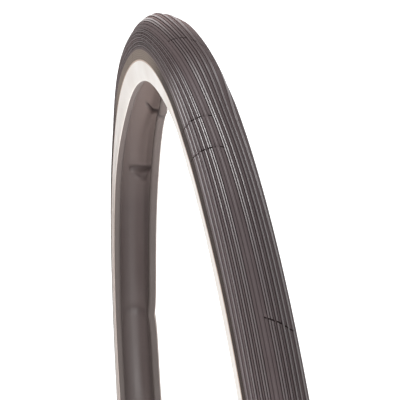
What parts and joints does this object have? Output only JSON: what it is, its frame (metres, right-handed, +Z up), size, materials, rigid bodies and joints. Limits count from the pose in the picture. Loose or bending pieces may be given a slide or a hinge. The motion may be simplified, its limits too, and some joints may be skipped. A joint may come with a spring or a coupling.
{
  "type": "bicycle tyre",
  "caption": "Wired-on road bicycle tyre with white sidewalls and a fine ribbed tread, off its rim: a ring that is open on the inside for the tube.",
  "frame": {"origin": "centre of the bead seats, which is the centre of the wheel", "axes": "+Y along the wheel axis, +Z up as the tyre stands, +X to the front"},
  "size_m": [0.7016, 0.0328, 0.7015],
  "materials": {
    "tread": "matt black rubber, a little worn",
    "gum": "tan gum rubber",
    "white": "aged white rubber, smooth and slightly glossy",
    "lining": "thin grey-brown rubber skin, dusted",
    "cloth": "rubbered woven cloth",
    "chafer": "rubbered woven strip",
    "filler": "hard black rubber",
    "wire": "coated steel wire"
  },
  "bodies": {
    "root": {"bead_ferrule_left": "wire", "bead_ferrule_right": "wire", "bead_filler_left": "filler", "bead_filler_right": "filler", "bead_wire_left": "wire", "bead_wire_right": "wire", "bead_wrap_left": "lining", "bead_wrap_right": "lining", "breaker_strip": "cloth", "casing_ply": "cloth", "chafer_strip_left": "chafer", "chafer_strip_right": "chafer", "cushion_gum": "gum", "inner_lining": "lining", "ply_turn_up_left": "cloth", "ply_turn_up_right": "cloth", "shoulder_strip_left": "tread", "shoulder_strip_right": "tread", "tread_cap": "tread", "white_sidewall_left": "white", "white_sidewall_right": "white"}
  },
  "joints": []
}
